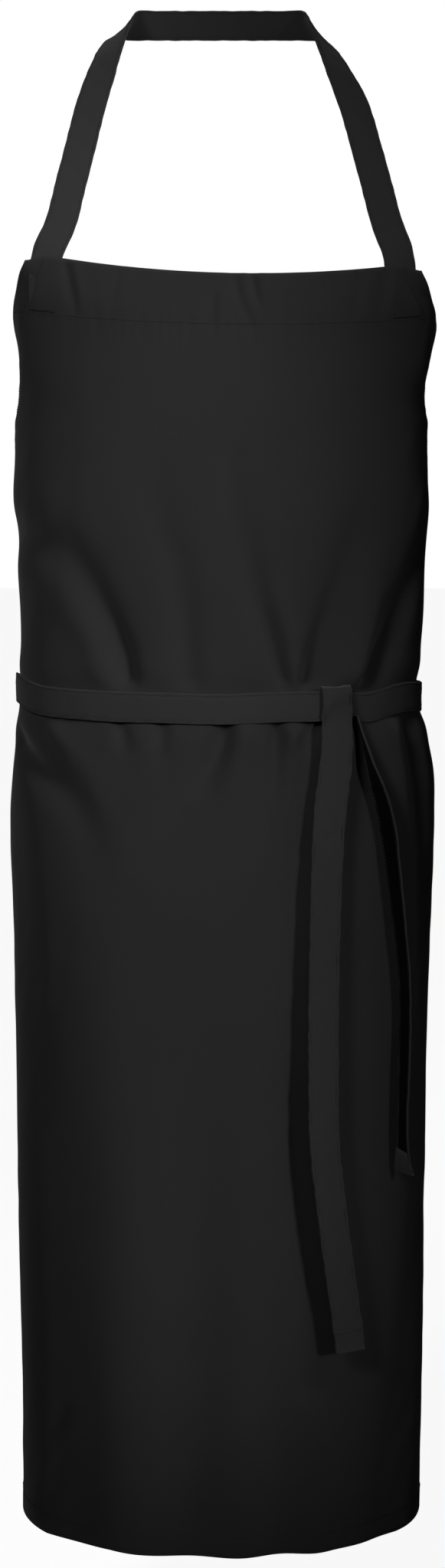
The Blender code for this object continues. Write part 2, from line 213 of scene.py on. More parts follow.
# Folds of the worn cloth: route on the flat panel, widths and heights at its two ends
FOLDS = (
    (((-0.230, 0.214), (-0.139, 0.230), (-0.118, 0.256), (-0.099, 0.290), (-0.086, 0.320), (-0.082, 0.344)),
     (0.020, 0.011), (-0.0040, -0.0130)),
    (((-0.200, 0.250), (-0.149, 0.262), (-0.119, 0.300), (-0.105, 0.336)),
     (0.018, 0.012), (0.0010, 0.0030)),
    (((-0.059, 0.168), (-0.051, 0.202), (-0.037, 0.246), (-0.031, 0.284), (-0.028, 0.340)),
     (0.020, 0.011), (-0.0020, -0.0060)),
    (((0.008, 0.150), (0.020, 0.218), (0.031, 0.268), (0.040, 0.296), (0.052, 0.342)),
     (0.018, 0.007), (-0.0030, -0.0110)),
    (((0.034, 0.200), (0.046, 0.268), (0.058, 0.300), (0.064, 0.342)),
     (0.014, 0.007), (0.0010, 0.0060)),
    (((0.122, 0.200), (0.102, 0.258), (0.089, 0.300), (0.077, 0.342)),
     (0.018, 0.011), (-0.0030, -0.0190)),
    (((0.142, 0.230), (0.129, 0.290), (0.115, 0.342)), (0.014, 0.012), (0.0020, 0.0120)),
    (((0.200, 0.240), (0.167, 0.282), (0.148, 0.314), (0.132, 0.344)),
     (0.016, 0.010), (-0.0040, -0.0130)),
    (((0.006, 0.368), (-0.002, 0.392), (-0.015, 0.422), (-0.033, 0.440), (-0.060, 0.500)),
     (0.007, 0.018), (-0.0130, -0.0010)),
    (((0.020, 0.370), (0.011, 0.408), (0.000, 0.448)), (0.008, 0.014), (0.0080, 0.0010)),
    (((0.047, 0.368), (0.045, 0.422), (0.040, 0.480)), (0.006, 0.014), (-0.0130, -0.0010)),
    (((0.061, 0.374), (0.060, 0.416), (0.058, 0.500)), (0.008, 0.014), (0.0080, 0.0010)),
    (((0.080, 0.374), (0.066, 0.400), (0.064, 0.474), (0.059, 0.572), (0.057, 0.672), (0.063, 0.780),
      (0.075, 0.876), (0.079, 0.950)), (0.010, 0.016), (-0.0060, -0.0080)),
    (((-0.215, 0.396), (-0.133, 0.442), (-0.100, 0.490)), (0.012, 0.022), (-0.0070, -0.0010)),
    (((-0.155, 0.380), (-0.120, 0.415), (-0.080, 0.500)), (0.010, 0.020), (0.0040, 0.0010)),
    (((-0.090, 0.368), (-0.083, 0.405)), (0.005, 0.010), (-0.0080, -0.0005)),
    (((-0.051, 0.368), (-0.056, 0.410)), (0.005, 0.010), (-0.0080, -0.0005)),
    (((0.128, 0.376), (0.136, 0.470), (0.150, 0.600)), (0.011, 0.022), (-0.0010, -0.0005)),
    (((0.155, 0.376), (0.168, 0.480), (0.180, 0.640)), (0.012, 0.022), (0.0070, 0.0024)),
    (((0.186, 0.376), (0.200, 0.480), (0.206, 0.600)), (0.011, 0.018), (-0.0075, -0.0022)),
    (((0.148, 0.930), (0.124, 0.984), (0.105, 1.020), (0.092, 1.056), (0.080, 1.110)),
     (0.020, 0.018), (0.0020, 0.0042)),
    (((0.215, 0.820), (0.188, 0.930), (0.172, 1.020), (0.158, 1.110)),
     (0.026, 0.028), (-0.0040, -0.0055)),
    (((-0.215, 0.480), (-0.165, 0.740), (-0.150, 1.110)), (0.026, 0.046), (-0.0020, -0.0050)),
    (((-0.105, 0.560), (-0.085, 0.800), (-0.080, 1.110)), (0.030, 0.040), (0.0016, 0.0060)),
    (((-0.030, 0.600), (-0.022, 0.860), (-0.026, 1.110)), (0.030, 0.030), (-0.0010, -0.0045)),
    (((0.020, 0.640), (0.016, 0.860), (0.012, 1.110)), (0.026, 0.026), (0.0008, 0.0040)),
    (((0.060, 0.700), (0.050, 0.900), (0.050, 1.110)), (0.022, 0.024), (-0.0008, -0.0050)),
)

# Where the cloth bellies out or falls in at the wearer's sides: drop, left, right
SIDE_SHIFT = np.array((
    (0.000, 0.0060, 0.0140),
    (0.020, 0.0078, 0.0158),
    (0.050, 0.0085, 0.0150),
    (0.064, 0.0045, 0.0098),
    (0.085, 0.0010, 0.0010),
    (0.122, 0.0061, 0.0041),
    (0.163, 0.0048, 0.0020),
    (0.230, 0.0020, -0.0007),
    (0.300, 0.0007, -0.0010),
    (0.325, 0.0007, -0.0035),
    (0.353, 0.0005, -0.0075),
    (0.385, 0.0000, -0.0030),
    (0.421, 0.0000, 0.0014),
    (0.462, 0.0005, 0.0000),
    (0.545, -0.0020, -0.0027),
    (0.657, -0.0007, -0.0027),
    (0.827, 0.0005, -0.0014),
    (1.000, -0.0007, -0.0014),
    (1.100, 0.0005, -0.0020),
))
# How much lower than level the bottom edge hangs: distance along from the middle, lower by
HEM_SAG = np.array((
    (-0.38, 0.000),
    (-0.26, 0.003),
    (-0.18, 0.007),
    (-0.10, 0.0005),
    (0.00, 0.000),
    (0.10, 0.001),
    (0.18, 0.005),
    (0.26, 0.002),
    (0.38, 0.000),
))
# Puckers of the bib's top hem: place along, drops where they start and end, height
PUCKERS = (
    (-0.128, 0.000, 0.034, -0.0022),
    (-0.091, 0.000, 0.030, -0.0011),
    (-0.007, 0.018, 0.043, -0.0017),
    (0.014, 0.000, 0.026, -0.0022),
    (0.027, 0.000, 0.024, -0.0026),
    (0.017, 0.028, 0.045, -0.0015),
    (0.050, 0.016, 0.043, -0.0012),
    (0.092, 0.004, 0.040, -0.0014),
    (0.112, 0.006, 0.043, -0.0018),
    (0.134, 0.000, 0.034, -0.0028),
)
PUCKER_WIDTH = 0.0045
PUCKER_SLANT = 0.25
PUCKER_START_SOFT = 0.006
PUCKER_END_SOFT = 0.008

# Top edge: how far it bows up towards the corners, and how far the corners themselves fall
CORNER_RISE = 0.013
CORNER_ALONG = 0.15
CORNER_REACH = 1.15
CORNER_FADE = 0.10
CORNER_FALL = 0.007
CORNER_FALL_ALONG = (0.146, 0.168)
CORNER_FALL_FADE = 0.04
# Top edge against that bow: at the middle, its slope to the right, and its curve
TOP_EDGE_RISE = (0.0032, -0.0040, -0.0012)

# Loose hang of the cloth behind the wearer's sides: where it starts and is full, and its folds
LOOSE_ALONG = (0.24, 0.31)
LOOSE_DROP = (0.36, 0.60)
LOOSE_FOLD = 0.0040
LOOSE_FOLD_PITCH = 0.11
LOOSE_FOLD_WANDER = 0.012
# Fine rumples all over
RUMPLE = 0.0005
RUMPLE_PITCH = 0.055
RUMPLE_LEAN = 0.45
# Band where the ties press the cloth flat (wider and higher at the sides), puffs above and below it
PRESS_HALF = 0.019
PRESS_HALF_SIDES = 0.02
PRESS_SIDES_HIGHER = 0.012
PRESS_DEPTH = 0.0008
PUFF = 0.0010
PUFF_FAR = 0.030
PUFF_WIDTH = 0.012

# Hems: how proud the doubled cloth is, and the groove and the drawn-in waves along their stitches
HEM_PROUD = 0.00045
HEM_STEP = 0.0012
STITCH_INSET = 0.0022
GROOVE_WIDTH = 0.0030
GROOVE_DEPTH = 0.00055
DRAWN_WAVE = 0.00028
DRAWN_WIDTH = 0.012

# Armhole edges turned back towards the body below the bib's corners
CURL = 0.012
CURL_REACH = 0.026
CURL_CURVE = 1.6
CURL_START = (0.004, 0.030)
CURL_END = (0.085, 0.16)

# Drop from which the bottom edge sags
SAG_START = 0.75


def folds(along, drop):
    """How far the cloth stands out from the smooth oval."""
    out = np.zeros(np.shape(along))
    for route, widths, heights in FOLDS:
        out = out + crease(along, drop, route, widths, heights)
    loose = smoothstep(*LOOSE_ALONG, np.abs(along)) * smoothstep(*LOOSE_DROP, drop)
    wander = along + LOOSE_FOLD_WANDER * ripple(drop, 0.9, 2.0)
    out = out + loose * LOOSE_FOLD * (ripple(wander, LOOSE_FOLD_PITCH, 3.0) - 0.7)
    uneven = ripple(along + drop * RUMPLE_LEAN, RUMPLE_PITCH, 7.0) * ripple(drop, 0.13, 8.0)
    out = out + RUMPLE * uneven
    side = smoothstep(LOOSE_ALONG[0], PANEL_HALF_WIDTH, np.abs(along))
    far = drop - (WAIST_DROP - PRESS_SIDES_HIGHER * side)
    pressed = np.exp(-(far / (PRESS_HALF + PRESS_HALF_SIDES * side))**4)
    out = out * (1.0 - pressed) - PRESS_DEPTH * pressed
    return out + PUFF * bell(np.abs(far) - PUFF_FAR, PUFF_WIDTH) * (1.0 - side)


def seams(along, drop):
    """Relief of the stitched hems: doubled cloth a little proud, stitch lines drawn in, puckers."""
    # Distance from the hem's edge of the cloth, its width, the distance along it, wavelength, seed
    hems = ((panel_half(drop) - np.abs(along), EDGE_HEM, drop, 0.013, 1.0),
            (APRON_LENGTH - drop, EDGE_HEM, along, 0.015, 2.0),
            (drop, TOP_HEM, along, 0.012, 3.0))
    doubled = np.zeros(np.shape(along))
    for inward, width, run, wavelength, seed in hems:
        doubled = np.maximum(doubled, np.where(inward < width, 1.0, bell(inward - width, HEM_STEP)))
    out = HEM_PROUD * doubled
    for inward, width, run, wavelength, seed in hems:
        drawn = 0.6 + 0.4 * ripple(run, wavelength, seed, 3)
        out = out - GROOVE_DEPTH * bell(inward - (width - STITCH_INSET), GROOVE_WIDTH) * drawn
        wave = ripple(run, wavelength, seed + 0.5, 4)
        out = out + DRAWN_WAVE * bell(inward - width, DRAWN_WIDTH) * wave
    for centre, first, last, height in PUCKERS:
        start = smoothstep(first - PUCKER_START_SOFT, first + PUCKER_START_SOFT, drop)
        end = smoothstep(last - PUCKER_END_SOFT, last + PUCKER_END_SOFT, drop)
        # Each leans its own way about the hem's middle
        far = along - centre - PUCKER_SLANT * (drop - 0.02) * math.sin(centre * 90.0)
        beside = 0.5 * bell(far - 1.9 * PUCKER_WIDTH, PUCKER_WIDTH)
        out = out + start * (1.0 - end) * height * (bell(far, PUCKER_WIDTH) - beside)
    return out


def armhole_curl(along, drop):
    """How far the armhole's hemmed edges turn back towards the body."""
    from_side = panel_half(drop) - np.abs(along)
    turn = np.clip(1.0 - from_side / CURL_REACH, 0.0, 1.0)**CURL_CURVE
    return CURL * turn * smoothstep(*CURL_START, drop) * (1.0 - smoothstep(*CURL_END, drop))


def top_edge_lift(along, drop):
    """How much higher than its drop says the cloth hangs near the bib's top edge."""
    lift = CORNER_RISE * np.minimum(np.abs(along) / CORNER_ALONG, CORNER_REACH)**2
    falling = 1.0 - smoothstep(0.0, CORNER_FALL_FADE, drop)
    lift = lift - CORNER_FALL * smoothstep(*CORNER_FALL_ALONG, np.abs(along)) * falling
    across = np.clip(along / CORNER_ALONG, -CORNER_REACH, CORNER_REACH)
    middle, slope, curve = TOP_EDGE_RISE
    lift = lift + middle + slope * across + curve * across**2
    return lift * (1.0 - smoothstep(0.0, CORNER_FADE, drop))


def hang(along, drop, out=0.0, worn=True):
    """Points on the hanging cloth for places on the flat panel; smooth unless worn."""
    along, drop, out = (np.array(part) for part in np.broadcast_arrays(
        np.asarray(along, float), np.asarray(drop, float), np.asarray(out, float)))
    sizes = body_sizes(drop)
    angle = np.zeros(along.shape)
    for level in np.unique(drop):
        at = drop == level
        angle[at] = oval_angle(along[at], *sizes[at][0])
    side = 0.0
    if worn:
        out = out + folds(along, drop) + seams(along, drop) - armhole_curl(along, drop)
        shift = hermite(SIDE_SHIFT[:, 0], SIDE_SHIFT[:, 1:], drop)
        side = np.where(angle < 0.0, -shift[..., 0], shift[..., 1]) * np.abs(np.sin(angle))**3
    x, y = oval_place(angle, sizes[..., 0], sizes[..., 1], out)
    sag = np.interp(along, HEM_SAG[:, 0], HEM_SAG[:, 1]) * smoothstep(SAG_START, APRON_LENGTH, drop)
    z = BIB_TOP_Z - drop + top_edge_lift(along, drop) - sag
    return np.stack([x + side, y, z], axis=-1)


# ---------------------------------------------------------------- materials

# Pitch, slope and height of the twill's ribs, and the weft's pitch as a share of theirs
TWILL_PITCH = 0.00095
TWILL_LEAN = 0.9
TWILL_HEIGHT = 0.00012
WEFT_SHARE = 0.55
# How the ribs and the cloth's fading share the colour, and how high the weft stands to the ribs
RIB_COLOUR = 0.45
FADE_COLOUR = 0.55
WEFT_HEIGHT = 0.18


def new_material(name):
    made = bpy.data.materials.new(name)
    made.use_nodes = True
    nodes = made.node_tree.nodes
    return made, nodes, made.node_tree.links, nodes["Principled BSDF"]


def math_node(nodes, links, operation, *values):
    node = nodes.new("ShaderNodeMath")
    node.operation = operation
    for socket, value in zip(node.inputs, values):
        if isinstance(value, (int, float)):
            socket.default_value = value
        else:
            links.new(value, socket)
    return node.outputs[0]


def noise(nodes, links, vector, scale, detail, roughness=0.5):
    node = nodes.new("ShaderNodeTexNoise")
    node.inputs["Scale"].default_value = scale
    node.inputs["Detail"].default_value = detail
    node.inputs["Roughness"].default_value = roughness
    links.new(vector, node.inputs["Vector"])
    return node.outputs["Fac"]


def colour_between(nodes, links, share, dark, light, start=0.0, end=1.0):
    ramp = nodes.new("ShaderNodeValToRGB")
    low, high = ramp.color_ramp.elements
    low.position = start
    low.color = (*dark, 1.0)
    high.position = end
    high.color = (*light, 1.0)
    links.new(share, ramp.inputs["Fac"])
    return ramp.outputs["Color"]


def twill_material(name, dark, light, gloss=1.0):
    """Black twill: diagonal ribs from a UV map in metres, uneven yarn, faint fading."""
    made, nodes, links, shader = new_material(name)
    uv = nodes.new("ShaderNodeUVMap")
    uv.uv_map = "cloth"
    split = nodes.new("ShaderNodeSeparateXYZ")
    links.new(uv.outputs["UV"], split.inputs[0])
    leaning = math_node(nodes, links, "MULTIPLY", split.outputs["Y"], TWILL_LEAN)
    diagonal = math_node(nodes, links, "ADD", split.outputs["X"], leaning)
    yarn = noise(nodes, links, uv.outputs["UV"], 900.0, 2.0)
    wobble = math_node(nodes, links, "MULTIPLY", yarn, 1.6)
    phase = math_node(nodes, links, "MULTIPLY", diagonal, 2.0 * math.pi / TWILL_PITCH)
    wave = math_node(nodes, links, "SINE", math_node(nodes, links, "ADD", phase, wobble))
    rib = math_node(nodes, links, "MULTIPLY_ADD", wave, 0.5, 0.5)
    weft_turn = 2.0 * math.pi / (TWILL_PITCH * WEFT_SHARE)
    weft_phase = math_node(nodes, links, "MULTIPLY", split.outputs["Y"], weft_turn)
    weft = math_node(nodes, links, "SINE", weft_phase)
    relief = math_node(nodes, links, "MULTIPLY_ADD", weft, WEFT_HEIGHT, rib)
    fade = noise(nodes, links, uv.outputs["UV"], 7.0, 5.0, 0.6)
    faded = math_node(nodes, links, "MULTIPLY", fade, FADE_COLOUR)
    share = math_node(nodes, links, "MULTIPLY_ADD", rib, RIB_COLOUR, faded)
    links.new(colour_between(nodes, links, share, dark, light, 0.15, 0.85), shader.inputs["Base Color"])
    bump = nodes.new("ShaderNodeBump")
    bump.inputs["Strength"].default_value = 0.55
    bump.inputs["Distance"].default_value = TWILL_HEIGHT
    links.new(relief, bump.inputs["Height"])
    links.new(bump.outputs["Normal"], shader.inputs["Normal"])
    shader.inputs["Roughness"].default_value = 0.82
    shader.inputs["Specular IOR Level"].default_value = 0.22 * gloss
    shader.inputs["Sheen Weight"].default_value = 0.10 * gloss
    shader.inputs["Sheen Roughness"].default_value = 0.55
    return made


def thread_material(name):
    made, nodes, links, shader = new_material(name)
    place = nodes.new("ShaderNodeTexCoord")
    ply = noise(nodes, links, place.outputs["Object"], 2600.0, 1.0)
    colour = colour_between(nodes, links, ply, (0.015, 0.015, 0.015), (0.027, 0.027, 0.028))
    links.new(colour, shader.inputs["Base Color"])
    shader.inputs["Roughness"].default_value = 0.7
    shader.inputs["Specular IOR Level"].default_value = 0.22
    return made


CLOTH = twill_material("twill_cloth", (0.0125, 0.0125, 0.0130), (0.0205, 0.0205, 0.0212))
# Straps: a lighter copy of the cloth's twill; part of the lift is painted light for the extra light the
# upward-facing straps catch
STRAP = twill_material("twill_strap", (0.0172, 0.0172, 0.0178), (0.0280, 0.0280, 0.0290))
# Near-black twill for the side tail's face turned away from the light: painted shade, darker than the
# lights make it, with little gloss so it stays black
PAINTED_SHADE = twill_material("twill_strap_painted_shade", (0.0010, 0.0010, 0.0010), (0.0022, 0.0022, 0.0023), 0.1)
THREAD = thread_material("sewing_thread")


# ---------------------------------------------------------------- meshes

# One stitch: girth at shares of its length, and its round section (across, up)
STITCH_PROFILE = ((0.0, 0.35), (0.12, 0.85), (0.5, 1.0), (0.88, 0.85), (1.0, 0.35))
STITCH_RING = ((1.0, 0.0), (0.5, 0.85), (-0.5, 0.85), (-1.0, 0.0), (-0.5, -0.6), (0.5, -0.6))
STITCH_HALF = 0.00042
# Machine seams: pitch, and the shares of it at which each stitch starts and how long it is
SEAM_PITCH = 0.0029
SEAM_GAP = 0.12
SEAM_STITCH = 0.76
SEAM_OFF = 0.0001
SEAM_END = 0.002
# Short way out of the cloth, to find a direction by
PROBE = 0.001


def mesh_piece(name, vertices, faces, uvs, look, body):
    """Object from vertices, faces and a UV in metres for each vertex; rides on a body, if any."""
    mesh = bpy.data.meshes.new(name)
    mesh.from_pydata([tuple(v) for v in vertices], [], faces)
    layer = mesh.uv_layers.new(name="cloth")
    corner = np.empty(len(mesh.loops), np.int32)
    mesh.loops.foreach_get("vertex_index", corner)
    layer.data.foreach_set("uv", np.asarray(uvs, float)[corner].ravel())
    mesh.materials.append(look)
    mesh.shade_smooth()
    mesh.update()
    made = bpy.data.objects.new(name, mesh)
    bpy.context.scene.collection.objects.link(made)
    if body is not None:
        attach(made, body)
    return made


def cloth_piece(node, along, drop, out=0.0):
    """Sheet of cloth lying as the panel does, in place of a node; grids are rows by columns."""
    rows, columns = along.shape
    faces = [(r * columns + c, r * columns + c + 1, (r + 1) * columns + c + 1, (r + 1) * columns + c)
             for r in range(rows - 1) for c in range(columns - 1)]
    uvs = np.stack([along, -drop], axis=-1).reshape(-1, 2)
    name = "apron_cloth" if node == "main_panel" else node + "_cloth"
    made = mesh_piece(name, hang(along, drop, out).reshape(-1, 3), faces, uvs, CLOTH, "apron")
    solidify = made.modifiers.new("Thickness", "SOLIDIFY")
    solidify.thickness = CLOTH_THICK
    solidify.offset = 0.0
    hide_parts(node)
    return made


def stitch_row(name, starts, ends, normals, body, half=STITCH_HALF):
    """A row of thread stitches, each a small rounded bar lying on the cloth."""
    run = ends - starts
    side = unit(np.cross(unit(run), normals))
    vertices = []
    for share, girth in STITCH_PROFILE:
        middle = starts + run * share
        dip = normals * (half * (girth - 1.0) * 0.6)
        for across, up in STITCH_RING:
            vertices.append(middle + dip + side * (across * girth * half) + normals * (up * girth * half))
    block = np.stack(vertices, axis=1).reshape(-1, 3)
    turn = len(STITCH_RING)
    last = (len(STITCH_PROFILE) - 1) * turn
    faces = []
    for base in range(0, len(block), last + turn):
        for start in range(base, base + last, turn):
            for k in range(turn):
                a = start + k
                b = start + (k + 1) % turn
                faces.append((a, b, b + turn, a + turn))
        faces.append(tuple(base + k for k in reversed(range(turn))))
        faces.append(tuple(base + last + k for k in range(turn)))
    made = mesh_piece(name, block, faces, np.zeros((len(block), 2)), THREAD, body)
    return made


def panel_stitches(name, begin, finish, out, half=STITCH_HALF):
    """Stitches between places (along, drop) on the panel, on one of its two sides."""
    starts = hang(*begin, out)
    ends = hang(*finish, out)
    beyond = hang(*begin, out + math.copysign(PROBE, out))
    return stitch_row(name, starts, ends, unit(beyond - starts), "apron", half)


def seam_stitches(name, along, drop, out):
    """Stitches along a line on the panel, given as many points on the flat cloth."""
    length = arc_length(hang(along, drop))
    count = int(length[-1] / SEAM_PITCH)
    begin = np.arange(count) * SEAM_PITCH + SEAM_PITCH * SEAM_GAP
    finish = begin + SEAM_PITCH * SEAM_STITCH
    line = np.stack([along, drop], axis=1)
    panel_stitches(name, sample(line, length, begin).T, sample(line, length, finish).T, out)


# ---------------------------------------------------------------- panel and hems

HEM_INSIDE = -0.0013
HEM_LAP = 0.0008
HEM_GAP = 0.001
ARMHOLE_HEM_END = ARMHOLE_DROP - 0.009


def level_rows(first, last, rows, columns):
    """Drops from the first to the last row, the same in each column."""
    return np.repeat(np.linspace(first, last, rows)[:, None], columns, axis=1)


def make_panel():
    drop = level_rows(0.0, APRON_LENGTH, 301, 221)
    along = np.linspace(-1.0, 1.0, 221) * panel_half(drop)
    return cloth_piece("main_panel", along, drop)


def make_hems():
    """Turned hems on the inside."""
    across = np.linspace(-1.0, 1.0, 161)
    drop = level_rows(HEM_LAP, TOP_HEM, 13, 161)
    cloth_piece("bib_top_hem", across * (panel_half(drop) - HEM_LAP), drop, HEM_INSIDE)
    drop = level_rows(APRON_LENGTH - EDGE_HEM, APRON_LENGTH - HEM_LAP, 9, 161)
    cloth_piece("bottom_hem", across * (panel_half(drop) - HEM_LAP), drop, HEM_INSIDE)

    inward = HEM_LAP + EDGE_HEM * np.linspace(0.0, 1.0, 9)
    for side, sign in (("left", -1.0), ("right", 1.0)):
        drop = level_rows(TOP_HEM + HEM_GAP, ARMHOLE_HEM_END, 90, 9)
        cloth_piece("armhole_hem_" + side, sign * (panel_half(drop) - inward), drop, HEM_INSIDE)
        drop = level_rows(ARMHOLE_DROP, APRON_LENGTH - EDGE_HEM - HEM_GAP, 200, 9)
        cloth_piece("side_hem_" + side, sign * (panel_half(drop) - inward), drop, HEM_INSIDE)


def make_seams():
    """Machine stitching of every hem, on the outside and on the inside."""
    out = CLOTH_THICK / 2.0 + SEAM_OFF
    line = np.linspace(-1.0, 1.0, 400)
    for face, level in (("outer", out), ("inner", HEM_INSIDE - out)):
        top = np.full(400, TOP_HEM - STITCH_INSET)
        seam_stitches("top_hem_stitching_" + face, line * (panel_half(top) - SEAM_END), top, level)
        low = np.full(400, APRON_LENGTH - EDGE_HEM + STITCH_INSET)
        seam_stitches("bottom_hem_stitching_" + face, line * (panel_half(low) - SEAM_END), low, level)
        for side, sign in (("left", -1.0), ("right", 1.0)):
            drop = np.linspace(0.003, APRON_LENGTH - 0.003, 900)
            along = sign * (panel_half(drop) - EDGE_HEM + STITCH_INSET)
            seam_stitches("edge_stitching_" + side + "_" + face, along, drop, level)


# ---------------------------------------------------------------- straps

# Strap section: share of the half width, share of the half thickness; stitched near both edges
STRAP_SECTION = ((-1.0, 0.0), (-0.985, 0.62), (-0.93, 0.96), (-0.86, 0.92), (-0.82, 0.70), (-0.77, 0.92),
                 (-0.60, 1.02), (-0.30, 1.0), (0.0, 0.98), (0.30, 1.0), (0.60, 1.02), (0.77, 0.92),
                 (0.82, 0.70), (0.86, 0.92), (0.93, 0.96), (0.985, 0.62), (1.0, 0.0))
STRAP_LOOP = STRAP_SECTION + tuple((across, -rise) for across, rise in reversed(STRAP_SECTION[1:-1]))
STITCH_ACROSS = 0.82
STITCH_DEEP = 0.40
STRAP_PITCH = 0.0031
STRAP_STITCH = 0.74
# How far from a strap's two ends its stitches stay
STRAP_SKIP = (0.004, 0.004)
TAIL_SKIP = (0.03, 0.006)
# Spacing of a strap's sections, and its usual unevenness
STRAP_SPACING = 0.0032
STRAP_RUMPLE = 0.00025


def strap_face(middles, halves):
    """Direction that the strap's upper face looks in."""
    run = unit(np.gradient(middles, axis=0))
    return unit(np.cross(run, unit(halves)))


def even(middles, halves):
    """Strap resampled at even spacing, and its length."""
    length = arc_length(middles)
    at = np.linspace(0.0, length[-1], max(int(length[-1] / STRAP_SPACING), 8))
    return sample(middles, length, at), sample(halves, length, at), float(length[-1])


def strap_faces(steps):
    """Quads of a closed strap: along its sides, then the two ends."""
    turn = len(STRAP_LOOP)
    half = len(STRAP_SECTION)
    faces = []
    for start in range(0, (steps - 1) * turn, turn):
        for k in range(turn):
            a = start + k
            b = start + (k + 1) % turn
            faces.append((a, b, b + turn, a + turn))
    low = [0] + list(range(turn - 1, half - 1, -1)) + [half - 1]
    for base, first in ((0, True), ((steps - 1) * turn, False)):
        for k in range(half - 1):
            corners = (base + k, base + k + 1, base + low[k + 1], base + low[k])
            corners = tuple(dict.fromkeys(corners))
            faces.append(corners if first else corners[::-1])
    return faces


def strap_piece(name, middles, halves, body, thick=STRAP_THICK, seed=1.0, rumple=STRAP_RUMPLE, cup=0.0,
                dark_face=False):
    """Closed flat strap swept along its middle line, with soft edges and slight unevenness; dark_face
    paints one face near-black as painted shade.
    """
    face = strap_face(middles, halves)
    length = arc_length(middles)
    width = np.linalg.norm(halves, axis=1)
    rings = []
    uvs = []
    for across, rise in STRAP_LOOP:
        wave = ripple(length + across * 0.011, 0.034, seed)
        wave = rumple * (wave + 0.5 * ripple(length - across * 0.02, 0.015, seed + 3))
        edge = rumple * 0.8 * ripple(length, 0.021, seed + (5 if across > 0 else 8)) * abs(across)
        bow = cup * (across**2 - 0.33)
        point = middles + halves * across + face * (thick / 2.0 * rise + wave + bow)[:, None]
        rings.append(point + unit(halves) * (edge * np.sign(across))[:, None])
        uvs.append(np.stack([across * width + 0.4, length], axis=1))
    vertices = np.stack(rings, axis=1).reshape(-1, 3)
    uv = np.stack(uvs, axis=1).reshape(-1, 2)
    made = mesh_piece(name, vertices, strap_faces(len(middles)), uv, STRAP, body)
    if dark_face:
        # Painted shade: the near-black material goes on all of the upper face but the turn of its last
        # edge, and on the underside's turn at the first
        made.data.materials.append(PAINTED_SHADE)
        turn = len(STRAP_LOOP)
        for i, polygon in enumerate(made.data.polygons):
            on_side = i < (len(middles) - 1) * turn
            if on_side and (i % turn < len(STRAP_SECTION) - 3 or i % turn > turn - 3):
                polygon.material_index = 1
    return made


def strap_stitches(name, middles, halves, body, skip=STRAP_SKIP):
    """Two rows of stitches near the strap's edges, on both its faces."""
    face = strap_face(middles, halves)
    length = arc_length(middles)
    begin = np.arange(skip[0], length[-1] - skip[1] - STRAP_PITCH, STRAP_PITCH)
    finish = begin + STRAP_PITCH * STRAP_STITCH
    starts = []
    ends = []
    normals = []
    for side in (1, -1):
        for across in (-STITCH_ACROSS, STITCH_ACROSS):
            track = middles + halves * across + face * (side * STRAP_THICK * STITCH_DEEP)
            starts.append(sample(track, length, begin))
            ends.append(sample(track, length, finish))
            normals.append(unit(sample(face * side, length, begin)))
    rows = (np.concatenate(part) for part in (starts, ends, normals))
    return stitch_row(name, *rows, body)


# ---------------------------------------------------------------- neck strap

fold_joint = np.array(joints["bib_swing"]["pos_m"])
SEWN_OUT = -0.0030
# Places (along, drop) of the strap's middle where it is sewn in, mirrored on the left
NECK_SEWN = ((0.1560, TOP_HEM - 0.003), (0.1535, TOP_HEM - 0.023))

# Each half of the neck strap, up from the bib: middle line (x outward), and direction to the edge
# nearest the head; the two meet behind the neck
NECK_RIGHT = (
    ((0.1462, fold_joint[1], fold_joint[2]), (-0.98, 0.00, -0.20)),
    ((0.1396, -0.1560, -0.1935), (-0.94, 0.00, -0.33)),
    ((0.1295, -0.1400, -0.1533), (-0.96, 0.00, -0.27)),
    ((0.1228, -0.1265, -0.1257), (-0.97, -0.04, -0.24)),
    ((0.1120, -0.1050, -0.0840), (-0.95, -0.15, -0.20)),
    ((0.1015, -0.0870, -0.0565), (-0.89, -0.44, -0.04)),
    ((0.0922, -0.0680, -0.0330), (-0.81, -0.50, 0.28)),
    ((0.0845, -0.0430, -0.0150), (-0.68, -0.25, 0.68)),
    ((0.0785, -0.0215, -0.0055), (-0.45, -0.15, 0.88)),
    ((0.0690, -0.0060, -0.0010), (-0.15, -0.05, 0.98)),
    ((0.0560, 0.0008, 0.0), (0.0, 0.0, 1.0)),
    ((0.0300, 0.0008, 0.0), (0.0, 0.0, 1.0)),
    ((0.0100, 0.0008, 0.0), (0.0, 0.0, 1.0)),
)
NECK_LEFT = (
    ((0.1455, fold_joint[1], fold_joint[2]), (-0.98, 0.00, -0.20)),
    ((0.1376, -0.1560, -0.1935), (-0.94, 0.00, -0.33)),
    ((0.1277, -0.1400, -0.1533), (-0.96, 0.00, -0.27)),
    ((0.1214, -0.1265, -0.1257), (-0.97, -0.04, -0.24)),
    ((0.1122, -0.1050, -0.0840), (-0.98, -0.10, -0.18)),
    ((0.1046, -0.0880, -0.0565), (-0.97, -0.24, -0.03)),
    ((0.0980, -0.0690, -0.0335), (-0.90, -0.40, 0.13)),
    ((0.0910, -0.0440, -0.0150), (-0.84, -0.24, 0.48)),
    ((0.0840, -0.0215, -0.0055), (-0.60, -0.12, 0.79)),
    ((0.0725, -0.0060, -0.0010), (-0.20, -0.04, 0.97)),
    ((0.0560, 0.0008, 0.0), (0.0, 0.0, 1.0)),
    ((0.0300, 0.0008, 0.0), (0.0, 0.0, 1.0)),
    ((0.0100, 0.0008, 0.0), (0.0, 0.0, 1.0)),
)


def neck_half(keys, sign):
    """Places and head directions of one half, from its sewn end to the nape."""
    mirror = np.array((sign, 1.0, 1.0))
    places = []
    heads = []
    for along, drop in NECK_SEWN:
        place = hang(along, drop, SEWN_OUT, worn=False)
        inner = hang(along - STRAP_WIDTH / 2.0, drop, SEWN_OUT, worn=False)
        places.append(place * mirror)
        heads.append(unit(inner - place) * mirror)
    for place, head in keys:
        places.append(np.array(place) * mirror)
        heads.append(np.array(head) * mirror)
    return places, heads


